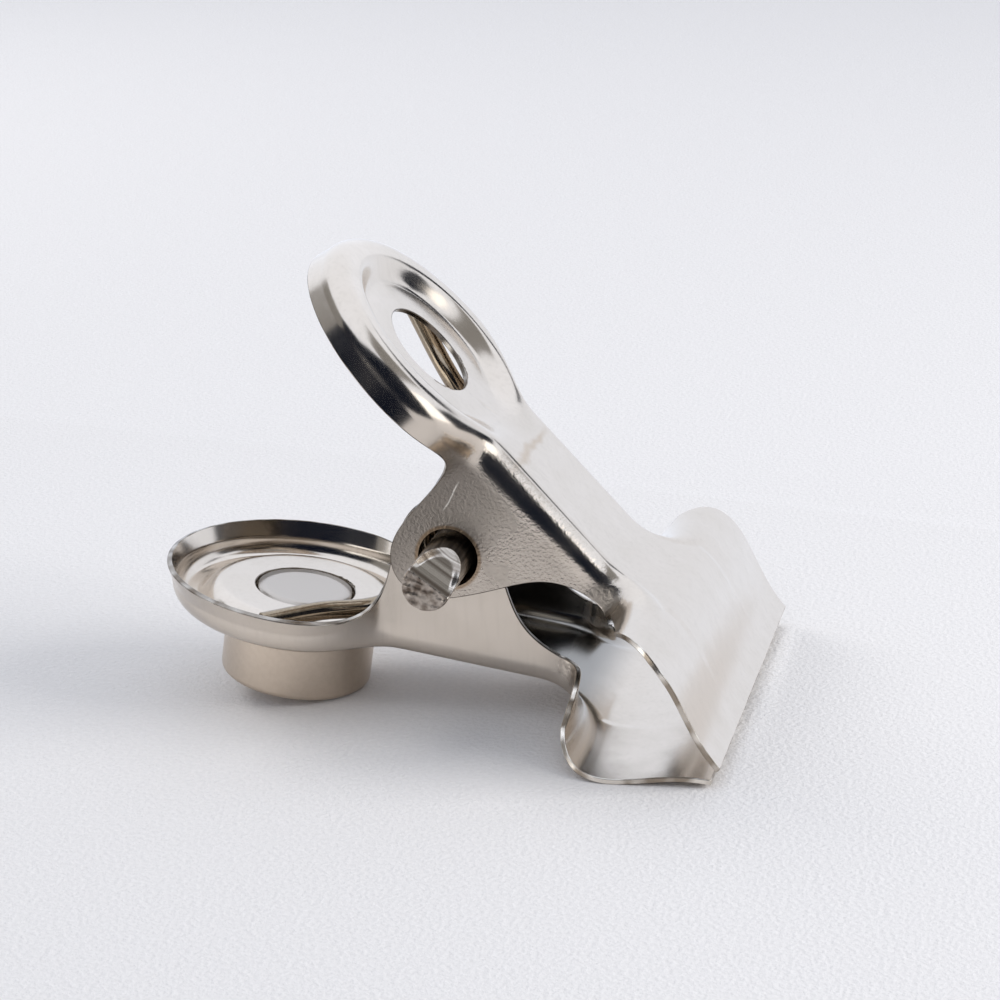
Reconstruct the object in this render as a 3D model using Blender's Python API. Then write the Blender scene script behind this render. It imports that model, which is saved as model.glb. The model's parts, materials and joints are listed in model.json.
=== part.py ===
"""Magnetic spring clip: two identical pressed levers on a loose pin, forced apart at the handles by a
torsion spring, with a disc magnet glued under the lower handle.

A lever is drawn in its own frame, in millimetres: u runs along the lever towards the jaw, y across it and
h outwards, with the pin's axis at u = h = 0. The lower lever is the same stamping turned over about u.
"""
import math

import bmesh
import bpy
import numpy as np

MM = 0.001
CLEARANCE = 0.3

# Sheet, and the plan of a lever
SHEET = 0.5
JAW_WIDTH = 30.0
DISH_RADIUS = 9.9
DISH_OFFSET = 10.82
HOLE_RADIUS = 3.45
OUTER_EAR = 5.75
INNER_EAR = OUTER_EAR - SHEET - CLEARANCE
NECK_ANGLE = math.radians(72)

# Heights of a lever's outer face above the pin's axis
RIM_HEIGHT = 5.37
RIM_LAND = 1.1
RIM_DRAFT = 0.25
RIDGE_HEIGHT = 7.95
PLATEAU_HEIGHT = 6.9
WEB_HEIGHT = 7.75
WEB_BEND = 1.3
RIDGE_RADIUS = 8.2
RIDGE_INNER = 7.2
PLATEAU_RADIUS = 6.1
NECK_EASE = 0.9

# Ear: round end, with straight edges that leave it at a tangent
EAR_CENTRE = (-0.75, -1.1)
EAR_RADIUS = 3.0
EAR_BACK = (-4.25, 4.7)
EAR_FRONT = (4.2, 1.8)
EAR_TO_JAW = [EAR_FRONT, (4.6, 3.2), (5.5, 4.25), (6.9, 5.2), (8.6, 5.7)]

# Neck: points (u, distance beyond the channel's line, h) where the dish turns in to the channel
NECK_BEND = (-5.6, 1.15, 7.88)
NECK_WALL = (-5.2, 1.55, 6.45)
NECK_EDGE = (-5.35, 1.75, 5.3)
BEND_START = -2.9
WALL_START = -3.2

# Jaw: outer face from its back to its tip, the wall that turns down behind it, and the corner it climbs to
JAW_TOP = [(12.4, 9.3), (14.2, 9.17), (16.6, 8.52), (18.6, 7.97), (20.5, 7.75)]
JAW_BACK_WALL = (9.9, 6.9)
JAW_BACK_EDGE = (9.9, 5.0)
JAW_CORNER = 7.5
CORNER_CENTRE = 14.0
CORNER_RADIUS = 4.1
CLIMB_START = 0.3
CHANNEL_END = 8.4
FLARE_POWER = 0.5

# Pin, spring, and the magnet with its boss sunk in the handle's hole
PIN_RADIUS = 1.6
PIN_HOLE_RADIUS = 2.03
PIN_NEAR_END = -10.75
PIN_FAR_END = 7.05
PIN_CHAMFER = 0.25
WIRE_RADIUS = 0.575
COIL_RADIUS = 2.55
COIL_PITCH = 1.62
COIL_TURNS = 4
UPPER_LEG_RISE = [(-2.0, 2.75), (-4.7, 4.6), (-8.3, 5.2)]
UPPER_LEG_TIP = (-13.3, 6.35, 5.6)
UPPER_SPLAY_START = -8.1
LOWER_LEG_RISE = [(-2.0, 2.9), (-4.7, 5.2), (-8.3, 5.5)]
LOWER_LEG_TIP = (-11.6, 7.7, 5.95)
LOWER_SPLAY_START = -5.4
MAGNET_RADIUS = 5.2
MAGNET_FACE = 12.92
MAGNET_EDGE = 0.5
BOSS_RADIUS = 3.05
BOSS_SINK = 0.15
ADHESIVE_OUTER = 4.9
ADHESIVE_INNER = 3.8
ADHESIVE_THICK = 0.25
ADHESIVE_GAP = 0.2

# Pose on a table: the clip lies on the magnet's edge and the lower jaw
LOWER_TILT = math.radians(10.38)
UPPER_TILT = math.radians(48.6)
PIVOT = (1.02, 0.0, 11.606)

# Mesh fineness
DISH_STATIONS = 11
NECK_STATIONS = 6
EAR_STATIONS = 18
FLARE_STATIONS = 9
TURN_STATIONS = 3
JAW_STATIONS = 10
INNER_SHARES = np.array([0.0, 0.3, 0.54, 0.66, 0.78, 0.9])
ROUND_STEPS = 3
SKIRT_STEPS = 3
CURL_POINTS = 10
DISC_SIDES = 40


def smooth_path(points, count, fine=400):
    """Evenly spaced points along a smooth cubic curve through the given ones."""
    p = np.array(points, float)
    chord = np.r_[0, np.cumsum(np.linalg.norm(np.diff(p, axis=0), axis=1))]
    slope = np.gradient(p, chord, axis=0)
    t = np.linspace(0, chord[-1], fine)
    i = np.clip(np.searchsorted(chord, t, "right") - 1, 0, len(p) - 2)
    width = (chord[i + 1] - chord[i])[:, None]
    x = (t - chord[i])[:, None] / width
    curve = (1 + 2 * x) * (1 - x) ** 2 * p[i] + x * (1 - x) ** 2 * width * slope[i]
    curve += x ** 2 * (3 - 2 * x) * p[i + 1] + x ** 2 * (x - 1) * width * slope[i + 1]
    return even_path(curve, count)


def even_path(points, count):
    """Points spaced evenly by length along straight runs between the given ones."""
    p = np.array(points, float)
    length = np.r_[0, np.cumsum(np.linalg.norm(np.diff(p, axis=0), axis=1))]
    even = np.linspace(0, length[-1], count)
    return np.stack([np.interp(even, length, axis) for axis in p.T], axis=-1)


def smooth_step(x):
    """Rise from 0 to 1 with level ends."""
    x = np.clip(x, 0, 1)
    return x * x * (3 - 2 * x)


def round_dish(radius, angles, height):
    """Points on a circle about the dish's axis."""
    u = radius * np.cos(angles) - DISH_OFFSET
    return np.stack([u, radius * np.sin(angles), np.full_like(u, height)], axis=-1)


def ear_outline(count):
    """Free edge of an ear: tangent line, arc, tangent line, and a curve up to the jaw."""
    centre = np.array(EAR_CENTRE)
    ends = []
    for point, turn in ((EAR_BACK, 1), (EAR_FRONT, -1)):
        away = np.array(point) - centre
        reach = math.acos(EAR_RADIUS / np.hypot(*away))
        ends.append(math.atan2(away[1], away[0]) + turn * reach)
    angles = np.linspace(ends[0], ends[1] + 2 * math.pi, 40)
    arc = centre + EAR_RADIUS * np.stack([np.cos(angles), np.sin(angles)], axis=-1)
    return even_path(np.vstack([[EAR_BACK], arc, smooth_path(EAR_TO_JAW, 30)]), count)


def at_side(outline, y):
    """Lift a (u, h) outline to points at one distance from the lever's middle."""
    return np.stack([outline[:, 0], np.full(len(outline), y), outline[:, 1]], axis=-1)


def top_height(u):
    """Height of the web and the jaw, which are level across: a ramp to the jaw's crest, then its top."""
    crest_u, crest_h = JAW_TOP[0]
    ramp = WEB_HEIGHT + (crest_h - WEB_HEIGHT) * smooth_step((u - CHANNEL_END) / (crest_u - CHANNEL_END))
    return np.where(u < crest_u, ramp, np.interp(u, *smooth_path(JAW_TOP, 100).T))


def flare(start, end):
    """Rounded corner from the channel out along the jaw's back to its side, without its first point."""
    angle = np.linspace(0, math.pi / 2, 200)
    along = np.sin(angle) ** FLARE_POWER
    across = 1 - np.cos(angle) ** FLARE_POWER
    share = np.stack([along, across, smooth_step(along)], axis=-1)
    return even_path(start + share * (end - start), FLARE_STATIONS + 1)[1:]


def turn_in(start, point, end, count):
    """Line from the dish through a neck point to the channel, without its first point."""
    u, beyond, h = point
    return smooth_path([start, (u, end[1] + beyond, h), end], count + 1)[1:]


def run_on(line, end, count):
    """Straight run from the end of a line, without its first point."""
    return even_path([line[-1], end], count + 1)[1:]


def lever_rails(half_width):
    """Lines along half a lever to the jaw's back: its middle, its bend, its wall and its free edge."""
    turn = np.linspace(math.pi, NECK_ANGLE, DISH_STATIONS)
    middle = round_dish(HOLE_RADIUS, turn, RIDGE_HEIGHT)
    bend = round_dish(RIDGE_RADIUS, turn, RIDGE_HEIGHT)
    wall = round_dish(DISH_RADIUS - RIM_DRAFT, turn, RIM_HEIGHT + RIM_LAND)
    edge = round_dish(DISH_RADIUS, turn, RIM_HEIGHT)

    bend_y = half_width - WEB_BEND
    wall_h = WEB_HEIGHT - WEB_BEND
    hole = round_dish(HOLE_RADIUS, np.linspace(NECK_ANGLE, 0, NECK_STATIONS + 1), RIDGE_HEIGHT)[1:]
    hole[:, 2] = np.linspace(RIDGE_HEIGHT, WEB_HEIGHT, NECK_STATIONS + 1)[1:]
    ear = at_side(ear_outline(EAR_STATIONS + 1), half_width)
    middle = np.vstack([middle, hole])
    bend = np.vstack([bend, turn_in(bend[-1], NECK_BEND, (BEND_START, bend_y, WEB_HEIGHT), NECK_STATIONS)])
    wall = np.vstack([wall, turn_in(wall[-1], NECK_WALL, (WALL_START, half_width, wall_h), NECK_STATIONS)])
    edge = np.vstack([edge, turn_in(edge[-1], NECK_EDGE, ear[0], NECK_STATIONS), ear[1:]])

    middle = np.vstack([middle, run_on(middle, (CHANNEL_END, 0, WEB_HEIGHT), EAR_STATIONS)])
    bend = np.vstack([bend, run_on(bend, (CHANNEL_END, bend_y, WEB_HEIGHT), EAR_STATIONS)])
    wall = np.vstack([wall, run_on(wall, (CHANNEL_END, half_width, wall_h), EAR_STATIONS)])

    side = JAW_WIDTH / 2
    top_u, top_h = JAW_TOP[0]
    wall_u, wall_h = JAW_BACK_WALL
    edge_u, edge_h = JAW_BACK_EDGE
    bend = np.vstack([bend, flare(bend[-1], (top_u, side, top_h))])
    wall = np.vstack([wall, flare(wall[-1], (wall_u, side, wall_h))])
    edge = np.vstack([edge, flare(edge[-1], (edge_u, side, edge_h))])
    ramp = bend[len(middle):len(middle) + TURN_STATIONS] * (1, 0, 1)
    return np.vstack([middle, ramp]), bend, wall, edge


def trim(line, half_width):
    """Line down the jaw's back wall, cut off where the free edge climbs from the ear to the jaw's corner."""
    across = (line[-1, 1] - half_width) / (JAW_WIDTH / 2 - half_width)
    start = EAR_TO_JAW[-1][1]
    height = start + (JAW_CORNER - start) * smooth_step((across - CLIMB_START) / (1 - CLIMB_START))
    length = np.r_[0, np.cumsum(np.linalg.norm(np.diff(line, axis=0), axis=1))]
    share = np.interp(height, line[::-1, 2], length[::-1]) / length[-1]
    return np.stack([np.interp(length * share, length, axis) for axis in line.T], axis=-1)


def round_corner(grid, half_width):
    """Draw the jaw's points in from its side, so that its back corner is round in plan."""
    back = np.clip(CORNER_CENTRE - grid[..., 0], 0, CORNER_RADIUS)
    inset = CORNER_RADIUS - np.sqrt(CORNER_RADIUS ** 2 - back ** 2)
    share = np.where(grid[..., 0] > CHANNEL_END, inset / (JAW_WIDTH / 2 - half_width), 0)
    beyond = np.maximum(grid[..., 1] - half_width, 0)
    return grid - np.stack([0 * beyond, beyond * share, 0 * beyond], axis=-1)


def dish_rise(point):
    """Share of the climb from the plateau to the ridge, steep all round but eased towards the channel."""
    u = point[:, 0] + DISH_OFFSET
    ease = NECK_EASE * smooth_step(1 - np.arctan2(point[:, 1], u) / NECK_ANGLE)
    climb = RIDGE_INNER - PLATEAU_RADIUS + 2 * ease
    return smooth_step((np.hypot(u, point[:, 1]) - PLATEAU_RADIUS + ease) / climb)


def half_lever(half_width):
    """Three grids of the outer face of half a lever: handle and channel, back of the jaw, and jaw."""
    middle, bend, wall, edge = lever_rails(half_width)
    inner = []
    for share in INNER_SHARES:
        point = middle + share * (bend[:len(middle)] - middle)
        point[:, 2] = PLATEAU_HEIGHT + (point[:, 2] - PLATEAU_HEIGHT) * dish_rise(point)
        inner.append(point)
    outer = []
    for angle in np.linspace(0, math.pi / 2, ROUND_STEPS + 1):
        point = bend + (wall - bend) * math.sin(angle)
        point[:, 2] = wall[:, 2] + (bend[:, 2] - wall[:, 2]) * math.cos(angle)
        outer.append(point)
    for step in range(1, SKIRT_STEPS + 1):
        outer.append(wall + (edge - wall) * step / SKIRT_STEPS)
    inner = np.stack(inner, axis=1)
    outer = np.stack(outer, axis=1)
    outer[-FLARE_STATIONS:] = [trim(line, half_width) for line in outer[-FLARE_STATIONS:]]

    turn = len(middle) - 1
    handle = np.concatenate([inner, outer[:turn + 1]], axis=1)
    back = np.vstack([inner[turn], outer[turn:, 0]])
    share = np.linspace(0, 1, JAW_STATIONS)[:, None]
    along = back[:, 0] + share * (JAW_TOP[-1][0] - back[:, 0])
    across = np.broadcast_to(back[:, 1], along.shape)
    jaw = np.stack([along, across, top_height(along)], axis=-1)
    return [round_corner(grid, half_width) for grid in (handle, outer[turn:], jaw)]


def add_grid(bm, grid):
    """Join a grid of points, in millimetres, into quads that face outwards."""
    verts = [[bm.verts.new(point * MM) for point in row] for row in grid]
    for low, high in zip(verts, verts[1:]):
        for k in range(len(low) - 1):
            bm.faces.new((low[k], high[k], high[k + 1], low[k + 1]))


def lever_mesh(name):
    """Outer face of a whole lever, with its outer ear at -y and its inner ear at +y."""
    bm = bmesh.new()
    for half_width, side in ((OUTER_EAR, -1), (INNER_EAR, 1)):
        for grid in half_lever(half_width):
            grid = grid * (1, side, 1)
            add_grid(bm, grid if side > 0 else grid[::-1])
    bmesh.ops.remove_doubles(bm, verts=bm.verts, dist=0.01 * MM)
    mesh = bpy.data.meshes.new(name)
    bm.to_mesh(mesh)
    bm.free()
    return mesh


def finish(name, colour, roughness):
    """Bare metal or glue finish for one piece."""
    material = bpy.data.materials.new(name)
    material.use_nodes = True
    shader = material.node_tree.nodes["Principled BSDF"]
    shader.inputs["Base Color"].default_value = (*colour, 1)
    shader.inputs["Roughness"].default_value = roughness
    shader.inputs["Metallic"].default_value = 0.0 if name == "magnet_adhesive" else 1.0
    return material


def add_piece(name, data, parent, colour=(0.6, 0.57, 0.53), roughness=0.2):
    """Named object on its frame, with its own finish."""
    piece = bpy.data.objects.new(name, data)
    bpy.context.collection.objects.link(piece)
    piece.parent = parent
    data.materials.append(finish(name, colour, roughness))
    return piece


def add_frame(name, turn):
    """Empty on the pin's axis, turned as a lever is."""
    frame = bpy.data.objects.new(name, None)
    bpy.context.collection.objects.link(frame)
    frame.location = [value * MM for value in PIVOT]
    frame.rotation_euler = turn
    return frame


def turned_mesh(name, profile, axis_point, axis):
    """Solid of revolution of a (radius, distance) profile: a ring where it closes, else a capped rod."""
    mesh = bpy.data.meshes.new(name)
    angles = np.linspace(0, 2 * math.pi, DISC_SIDES, endpoint=False)
    bm = bmesh.new()
    rings = []
    for radius, along in profile:
        ring = []
        for angle in angles:
            across = (radius * math.cos(angle), radius * math.sin(angle))
            offset = (across[0], along, across[1]) if axis == "y" else (across[0], across[1], along)
            ring.append(bm.verts.new([(a + b) * MM for a, b in zip(axis_point, offset)]))
        rings.append(ring)
    closed = profile[0] == profile[-1]
    if closed:
        bmesh.ops.delete(bm, geom=rings.pop(), context="VERTS")
    pairs = zip(rings, rings[1:] + rings[:1] if closed else rings[1:])
    for low, high in pairs:
        for k in range(DISC_SIDES):
            n = (k + 1) % DISC_SIDES
            bm.faces.new((low[k], low[n], high[n], high[k]))
    if not closed:
        bm.faces.new(rings[0])
        bm.faces.new(rings[-1])
    bmesh.ops.recalc_face_normals(bm, faces=bm.faces)
    bm.to_mesh(mesh)
    bm.free()
    mesh.shade_smooth()
    mesh.set_sharp_from_angle(angle=math.radians(35))
    return mesh


def add_pin_cutter(frame):
    """Cutter for the holes that the pin passes through."""
    reach = JAW_WIDTH / 2
    profile = [(PIN_HOLE_RADIUS, -reach), (PIN_HOLE_RADIUS, reach)]
    cutter = bpy.data.objects.new("pin_hole_cutter", turned_mesh("pin_hole_cutter", profile, (0, 0, 0), "y"))
    bpy.context.collection.objects.link(cutter)
    cutter.location = frame.location
    cutter.hide_render = True
    cutter.display_type = "WIRE"
    return cutter


def add_lever(name, frame, cutter):
    """Lever from its outer face: sheet thickness inwards, then the pin's holes."""
    lever = add_piece(name, lever_mesh(name), frame)
    sheet = lever.modifiers.new("sheet", "SOLIDIFY")
    sheet.thickness = SHEET * MM
    sheet.offset = -1
    holes = lever.modifiers.new("pin_holes", "BOOLEAN")
    holes.operation = "DIFFERENCE"
    holes.solver = "EXACT"
    holes.object = cutter
    return lever


def lever_to_world(points, upper):
    """Points of a lever's frame, turned to the clip's axes about the pin."""
    u, y, h = np.array(points, float).T
    side = 1 if upper else -1
    tilt = UPPER_TILT if upper else LOWER_TILT
    x = u * math.cos(tilt) + side * h * math.sin(tilt)
    z = -u * math.sin(tilt) + side * h * math.cos(tilt)
    return np.stack([x, side * y, z], axis=-1)


def spring_leg(coil_y, rise, tip, splay_start, upper):
    """Leg from the coil to its tip under a handle: along the web, then splayed into the dish."""
    route = [(0, coil_y, COIL_RADIUS)]
    for u, h in rise:
        splay = max(0, (splay_start - u) / (splay_start - tip[0]))
        route.append((u, coil_y + splay * (tip[1] - coil_y), h))
    route.append(tip)
    return lever_to_world(smooth_path(route, 9), upper)


def spring_path():
    """Centre line of the wire: lower leg, helix about the pin with its angle rising along y, upper leg."""
    first = math.atan2(-math.cos(LOWER_TILT), -math.sin(LOWER_TILT))
    last = math.atan2(math.cos(UPPER_TILT), math.sin(UPPER_TILT)) + 2 * math.pi * COIL_TURNS
    turns = (last - first) / (2 * math.pi)
    coil_y = COIL_PITCH * turns / 2
    angle = np.linspace(first, last, round(turns * CURL_POINTS) + 1)
    helix = np.stack([COIL_RADIUS * np.cos(angle), np.linspace(-coil_y, coil_y, len(angle)),
                      COIL_RADIUS * np.sin(angle)], axis=-1)
    lower = spring_leg(coil_y, LOWER_LEG_RISE, LOWER_LEG_TIP, LOWER_SPLAY_START, False)
    upper = spring_leg(coil_y, UPPER_LEG_RISE, UPPER_LEG_TIP, UPPER_SPLAY_START, True)
    return np.vstack([lower[::-1], helix[1:-1], upper])


def least_gap(path):
    """Least clear distance between turns of the wire, measured on points that aren't neighbours along it."""
    fine = even_path(path, 600)
    step = np.linalg.norm(fine[1] - fine[0])
    apart = np.linalg.norm(fine[:, None] - fine[None], axis=-1)
    order = np.arange(len(fine))
    along = np.abs(order[:, None] - order[None]) * step
    return apart[along > math.pi * COIL_RADIUS].min() - 2 * WIRE_RADIUS


def add_spring(frame):
    """Torsion spring as one round wire."""
    path = spring_path()
    print("torsion_spring least gap to itself: %.2f mm" % least_gap(path))
    curve = bpy.data.curves.new("torsion_spring", "CURVE")
    curve.dimensions = "3D"
    curve.bevel_depth = WIRE_RADIUS * MM
    curve.bevel_resolution = 1
    curve.use_fill_caps = True
    line = curve.splines.new("POLY")
    line.points.add(len(path) - 1)
    line.points.foreach_set("co", np.column_stack([path * MM, np.ones(len(path))]).ravel())
    return add_piece("torsion_spring", curve, frame, colour=(0.42, 0.39, 0.35), roughness=0.25)


def add_pin(frame):
    """Pin of cut wire with broken edges, longer on the near side."""
    profile = [(PIN_RADIUS - PIN_CHAMFER, PIN_NEAR_END), (PIN_RADIUS, PIN_NEAR_END + PIN_CHAMFER),
               (PIN_RADIUS, PIN_FAR_END - PIN_CHAMFER), (PIN_RADIUS - PIN_CHAMFER, PIN_FAR_END)]
    mesh = turned_mesh("pivot_pin", profile, (0, 0, 0), "y")
    return add_piece("pivot_pin", mesh, frame, colour=(0.45, 0.43, 0.40), roughness=0.35)


def add_magnet(frame):
    """Disc magnet with rounded edges and a boss in the handle's hole, and the ring of glue behind it."""
    glue_back = PLATEAU_HEIGHT + ADHESIVE_GAP
    glue_face = glue_back + ADHESIVE_THICK
    ring = [(ADHESIVE_INNER, glue_back), (ADHESIVE_OUTER, glue_back), (ADHESIVE_OUTER, glue_face),
            (ADHESIVE_INNER, glue_face), (ADHESIVE_INNER, glue_back)]
    axis_point = (-DISH_OFFSET, 0, 0)
    add_piece("magnet_adhesive", turned_mesh("magnet_adhesive", ring, axis_point, "h"), frame,
              colour=(0.55, 0.53, 0.48), roughness=0.6)
    back = glue_face + ADHESIVE_GAP
    quarter = np.linspace(0, math.pi / 2, 4)
    inset = MAGNET_EDGE * (1 - np.sin(quarter))
    rise = MAGNET_EDGE * (1 - np.cos(quarter))
    boss = PLATEAU_HEIGHT - SHEET + BOSS_SINK
    lower = [(BOSS_RADIUS, boss), (BOSS_RADIUS, back)]
    lower += [(MAGNET_RADIUS - i, back + r) for i, r in zip(inset, rise)]
    upper = [(MAGNET_RADIUS - i, MAGNET_FACE - r) for i, r in zip(inset[::-1], rise[::-1])]
    add_piece("magnet", turned_mesh("magnet", lower + upper, axis_point, "h"), frame,
              colour=(0.58, 0.55, 0.51), roughness=0.3)


def main():
    """Clear the scene and build the clip at rest, jaws closed."""
    for thing in list(bpy.data.objects):
        bpy.data.objects.remove(thing)
    pin_frame = add_frame("pin_axis", (0, 0, 0))
    lower_frame = add_frame("lower_axis", (math.pi, LOWER_TILT, 0))
    upper_frame = add_frame("upper_axis", (0, UPPER_TILT, 0))
    cutter = add_pin_cutter(pin_frame)
    add_lever("upper_lever", upper_frame, cutter)
    add_lever("lower_lever", lower_frame, cutter)
    add_magnet(lower_frame)
    add_pin(pin_frame)
    add_spring(pin_frame)


main()
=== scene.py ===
"""Looks of the magnetic spring clip: two plated levers, a cut-wire pin, a wire spring and a magnet.

A lever is worked out in its own frame, in millimetres: u along it towards the jaw, y across it and
h outwards, with the pin's axis at u = h = 0. The lower lever is the same stamping turned over.
"""
import json
import math

import bmesh
import bpy
import numpy as np
from mathutils import Matrix, Vector


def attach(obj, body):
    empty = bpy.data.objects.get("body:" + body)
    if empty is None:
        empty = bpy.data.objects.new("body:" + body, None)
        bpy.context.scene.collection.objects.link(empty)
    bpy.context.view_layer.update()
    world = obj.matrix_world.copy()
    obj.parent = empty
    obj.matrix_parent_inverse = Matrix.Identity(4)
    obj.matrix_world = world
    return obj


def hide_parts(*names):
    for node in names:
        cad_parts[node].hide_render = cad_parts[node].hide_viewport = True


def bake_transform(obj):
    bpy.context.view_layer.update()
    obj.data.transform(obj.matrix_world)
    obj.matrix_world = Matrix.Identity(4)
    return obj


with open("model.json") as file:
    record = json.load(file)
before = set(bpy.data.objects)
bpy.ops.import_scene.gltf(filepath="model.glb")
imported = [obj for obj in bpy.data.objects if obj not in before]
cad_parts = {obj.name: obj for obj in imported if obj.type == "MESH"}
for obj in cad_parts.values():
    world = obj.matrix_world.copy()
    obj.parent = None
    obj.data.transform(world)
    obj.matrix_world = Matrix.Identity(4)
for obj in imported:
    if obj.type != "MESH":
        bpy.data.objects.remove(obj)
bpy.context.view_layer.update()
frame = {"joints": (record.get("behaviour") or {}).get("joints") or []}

MM = 0.001
PIVOT = np.array(frame["joints"][0]["pos_m"]) / MM
X_AXIS, Y_AXIS, Z_AXIS = np.eye(3)

# Sheet, and the plan of a lever. The sheet is seen thinner than the solids' own, as its cut edges
# look in the photograph, and those edges are broken.
SHEET = 0.5
SEEN_SHEET = 0.36
EDGE_BREAK = 0.07
CLEARANCE = 0.3
JAW_WIDTH = 30.0
DISH_RADIUS = 9.9
DISH_OFFSET = 10.82
HOLE_RADIUS = 3.45
OUTER_EAR = 5.75
INNER_EAR = OUTER_EAR - SHEET - CLEARANCE
NECK_ANGLE = math.radians(72)

# Dish: heights of its outer face above the pin's axis, and radii about its own axis
RIM_HEIGHT = 5.37
RIM_LAND = 1.1
UPPER_DRAFT = 0.25
LOWER_DRAFT = 0.5
RIDGE_HEIGHT = 7.95
RIDGE_RADIUS = 8.2
RIDGE_INNER = 7.5
PLATEAU_HEIGHT = 6.9
PLATEAU_RADIUS = 5.9
NECK_EASE = 0.9

# Channel: heights of its web, of its walls at the jaw and of its hollow's middle.
# A bend between web and ear is given by its width and its depth.
WEB_HEIGHT = 7.75
WALL_FRONT = 6.45
CHANNEL_MIDDLE = 3.0
CHANNEL_END = 8.4
OUTER_BEND = (1.5, 2.1)
INNER_BEND = (0.9, 1.3)

# Ear: (u, h) of its round end, of the tangent edges that leave it, and of its climb to the jaw
EAR_CENTRE = (-0.75, -1.1)
EAR_RADIUS = 3.0
EAR_BACK = (-4.25, 4.7)
EAR_FRONT = (4.2, 1.8)
EAR_TO_JAW = [EAR_FRONT, (4.6, 3.2), (5.5, 4.25), (6.9, 5.2), (8.6, 5.7)]
EAR_TOP = 6.2

# Neck: points (u, distance beyond the channel's line, h) where the dish turns in to the channel
NECK_BEND = (-5.6, 1.5, 7.88)
NECK_WALL = (-5.2, 1.5, 6.0)
NECK_EDGE = (-5.35, 1.75, 5.3)
BEND_START = -3.9
WALL_START = -4.2

# Jaw: (u, h) of its outer face from its crest to its tip and of the wall that turns down behind it,
# the height that its free edge climbs to, its round corner, and its flare out of the channel
JAW_TOP = [(12.4, 9.3), (14.2, 9.17), (16.6, 8.52), (18.6, 7.97), (20.5, 7.75)]
JAW_BACK_WALL = (9.9, 6.9)
JAW_BACK_EDGE = (9.9, 5.0)
JAW_CORNER = 7.5
CLIMB_START = 0.3
CORNER_CENTRE = 14.0
CORNER_RADIUS = 4.1
FLARE_POWER = 0.5
FLARE_SIZE = (2.75, 10.0)
CREST_SOFTEN = 0.7

# Pin: distances along its axis, and its near end, cut slanting past a line and torn off before it
PIN_RADIUS = 1.6
PIN_HOLE_RADIUS = 2.03
PIN_NEAR_END = -10.75
PIN_FAR_END = 7.05
PIN_SQUARE = -5.2
PIN_NEAR_ROUND = [(0.985 * PIN_RADIUS, PIN_NEAR_END + 0.03), (PIN_RADIUS, PIN_NEAR_END + 0.1)]
PIN_FAR_ROUND = [(0.97 * PIN_RADIUS, PIN_FAR_END - 0.08), (0.9 * PIN_RADIUS, PIN_FAR_END)]
PIN_FACES = (0.95 * PIN_RADIUS, 0.85 * PIN_RADIUS)
PIN_SIDE = (PIN_NEAR_END + 0.2, PIN_FAR_END - 0.3)
PIN_SHARP = math.radians(35)
NEAR_FACING = -0.25
FAR_FACING = 0.6
CUT_SIDE = (0.6, 0.8)
CUT_START = -0.1
CUT_SLOPE = 1.5
TEAR_DEPTH = 0.05
TEAR_FADE = 0.3
LIP_DEPTH = 0.35
LIP_INNER = 0.72
LIP_FADE = 0.6
BURR = 0.3

# Unevenness of the torn part: shares of x and z along each of two ripples, and their seeds
TEAR_RIPPLES = ((2.2, 1.1, 3), (-0.7, 2.4, 5))
RIPPLE_WAVES = 7
RIPPLE_PITCH = (1, 6)

# Spring: its coil, and its legs as (u, h) along the web and (u, y, h) of the tip in the dish
WIRE_RADIUS = 0.64
WIRE_CAP = np.array((0, 0.6, 0.88))
COIL_RADIUS = 2.55
COIL_PITCH = 1.62
COIL_TURNS = 4
UPPER_LEG_RISE = [(-2.0, 2.75), (-4.7, 4.6), (-8.3, 5.2)]
UPPER_LEG_TIP = (-13.3, 6.35, 5.6)
UPPER_SPLAY_START = -8.1
LOWER_LEG_RISE = [(-2.0, 2.9), (-4.7, 5.2), (-8.3, 5.75)]
LOWER_LEG_TIP = (-11.6, 7.7, 6.45)
LOWER_SPLAY_START = -5.4

# Magnet and the glue behind it
MAGNET_RADIUS = 5.2
MAGNET_FACE = 12.92
MAGNET_EDGE = 0.5
BOSS_RADIUS = 3.25
BOSS_SINK = 0.15
BOSS_FADE = 1.0
ADHESIVE_OUTER = 4.9
ADHESIVE_INNER = 3.8
ADHESIVE_THICK = 0.25
ADHESIVE_GAP = 0.2

# Pose on a table: how far each lever's jaw points down
LOWER_TILT = math.radians(10.38)
UPPER_TILT = math.radians(48.6)

# Wear and painted shade of a lever: levels, and (start, end) of the lengths over which they fade in
UPPER_WEAR = 1.0
LOWER_WEAR = 0.12
EAR_BACK_FADE = (EAR_BACK[0] - 1.2, EAR_BACK[0] + 0.4)
EAR_FRONT_FADE = (CHANNEL_END + 1, CHANNEL_END - 2)
EAR_TOP_FADE = (EAR_TOP, EAR_TOP - 0.9)
EAR_CLEAN_FADE = (EAR_BACK[0], EAR_BACK[0] + 7)
EAR_CLEAN = 0.75
BEND_FADE = (WEB_HEIGHT, WEB_HEIGHT - 0.5)
BEND_PITS = 0.25
TORN_CORNER = (CHANNEL_END + 0.5, OUTER_EAR + 0.3, WALL_FRONT - 0.3)
TORN_REACH = 1.2
TORN_DULL = 0.8
INSIDE_BACK_FADE = (-5.0, -2.0)
INSIDE_FRONT_FADE = (12.5, 9.5)
INSIDE_TURN = 0.4
# Grime and painted shade on the cut edges: on the ears, and less on the dish's rim
EAR_GRIME_AND_SHADE = 0.85
RIM_GRIME_AND_SHADE = 0.5
RIM_GRIME_AND_SHADE_FADE = (EAR_BACK[0], EAR_BACK[0] - 2)
# Painted shade round the pin's hole: radii where it starts and where it is full
HOLE_SHADE_RING = (PIN_HOLE_RADIUS + 0.3, PIN_HOLE_RADIUS + 0.15)

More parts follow.
